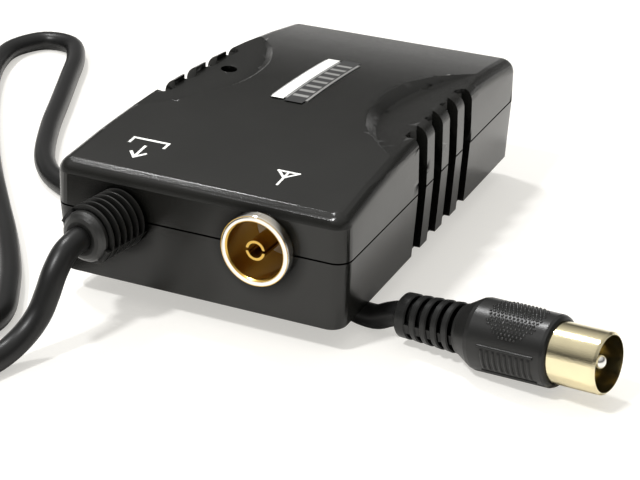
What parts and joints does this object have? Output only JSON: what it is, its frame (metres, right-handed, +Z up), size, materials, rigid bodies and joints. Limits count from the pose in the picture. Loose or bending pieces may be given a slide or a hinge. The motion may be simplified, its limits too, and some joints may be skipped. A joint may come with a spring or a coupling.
{
  "type": "rf modulator",
  "caption": "Small black box with an arched top and side finger grips, an aerial socket and a captive coaxial lead ending in a coaxial television plug.",
  "frame": {"origin": "on the surface the part stands on, under the middle of the box's width and of its depth with the socket rim counted", "axes": "+Z up, +Y towards the back of the box, +X towards the side the aerial socket is nearer to"},
  "size_m": [0.1661, 0.1879, 0.0264],
  "materials": {
    "case": "fine texture",
    "badge": "satin",
    "gold": "bright plated",
    "pale_gold": "bright plated",
    "nickel": "bright",
    "tinplate": "satin",
    "steel": "satin",
    "rubber": "matte",
    "lead": "satin",
    "plug_plastic": "satin",
    "white_plastic": "satin",
    "brown_plastic": "satin",
    "board": "satin",
    "chip": "matte",
    "copper": "bright",
    "cap_sleeve": "gloss"
  },
  "bodies": {
    "box": {"lower_shell": "case", "upper_shell": "case", "badge_plate": "badge", "case_screws": "steel", "rubber_feet": "rubber", "aerial_socket_shell": "gold", "aerial_socket_insulator": "white_plastic", "aerial_socket_contact": "gold", "cable_gland": "case", "lead_inside": "lead", "rf_lead": "lead", "rf_lead_coil": "lead", "rf_lead_end": "lead", "lead_tie": "rubber", "plug_body": "plug_plastic", "plug_shell": "pale_gold", "plug_insulator": "brown_plastic", "plug_pin": "nickel", "circuit_board": "board", "modulator_can": "tinplate", "can_lid": "tinplate", "modulator_chip": "chip", "tuning_coils": "copper", "crystal": "tinplate", "voltage_regulator": "chip", "capacitors": "cap_sleeve", "trimmer_body": "white_plastic", "av_socket_body": "plug_plastic", "av_socket_shield": "nickel", "av_socket_insulator": "chip", "av_socket_contacts": "gold", "switch_body": "plug_plastic"},
    "channel_slider": {"switch_slider": "case"},
    "trimmer": {"trimmer_rotor": "gold"}
  },
  "joints": [
    {"name": "channel_slide", "type": "slide", "parent": "box", "child": "channel_slider", "axis": [1, 0, 0], "range_m": [0, 0.0022]},
    {"name": "trimmer_turn", "type": "hinge", "parent": "box", "child": "trimmer", "pos_m": [-0.01861, 0.0068, 0.017], "axis": [0, 0, 1], "continuous": true}
  ]
}
